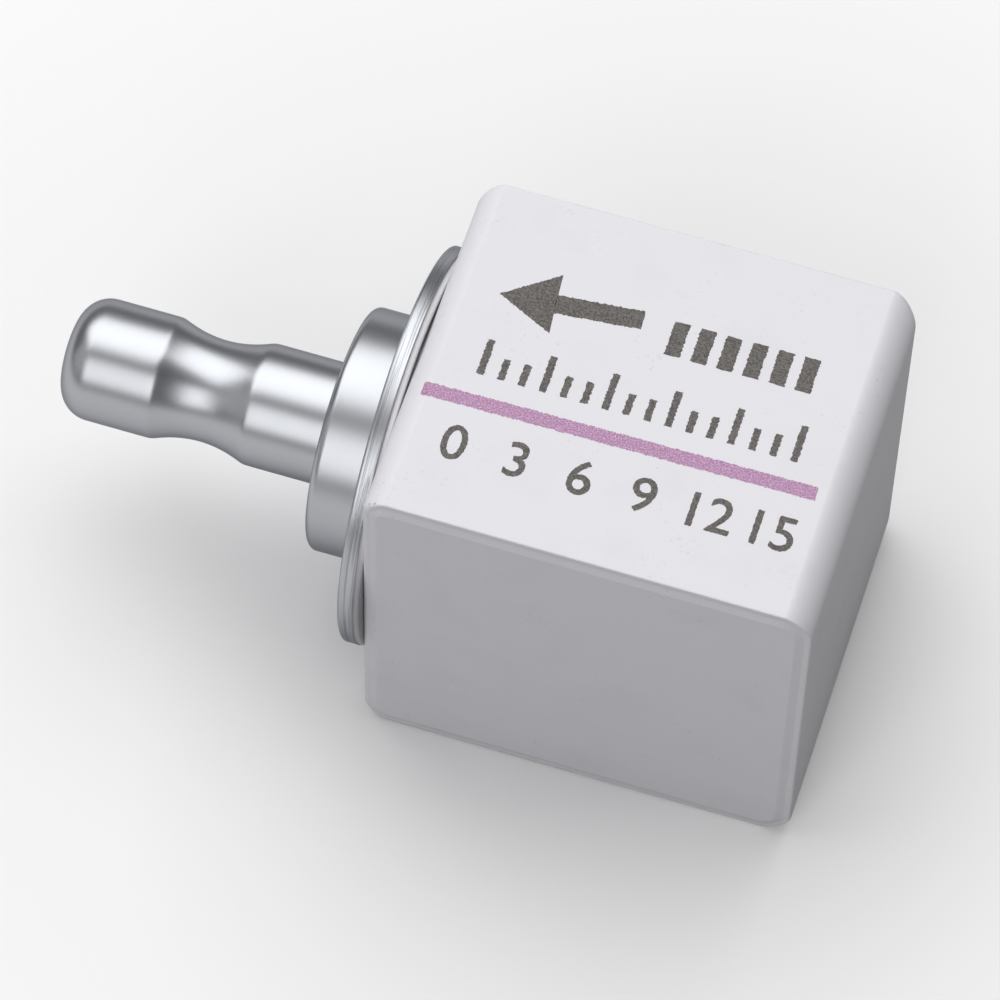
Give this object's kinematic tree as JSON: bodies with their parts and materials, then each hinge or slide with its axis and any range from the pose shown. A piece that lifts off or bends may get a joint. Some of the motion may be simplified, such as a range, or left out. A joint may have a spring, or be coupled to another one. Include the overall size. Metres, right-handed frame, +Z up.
{
  "type": "zirconia milling block",
  "caption": "Round-edged block of pre-sintered zirconia bonded to a turned aluminium mandrel with flange, collar and waisted shank, for milling crowns.",
  "frame": {"origin": "middle of the ceramic block's bottom face, which the part stands on", "axes": "+X along the mandrel's axis from the shank's tip towards the block, +Z up through the printed face, +Y across"},
  "size_m": [0.0389, 0.0196, 0.0205],
  "materials": {
    "pressed_zirconia": "chalky matt white, pressed and not yet sintered, with a printed mauve stripe and dark ink marks on top",
    "turned_aluminium": "satin turned aluminium with fine turning lines",
    "cured_adhesive": "thin cream film of cured adhesive"
  },
  "bodies": {
    "root": {"zirconia_block": "pressed_zirconia", "mandrel": "turned_aluminium", "bond_film": "cured_adhesive"}
  },
  "joints": []
}
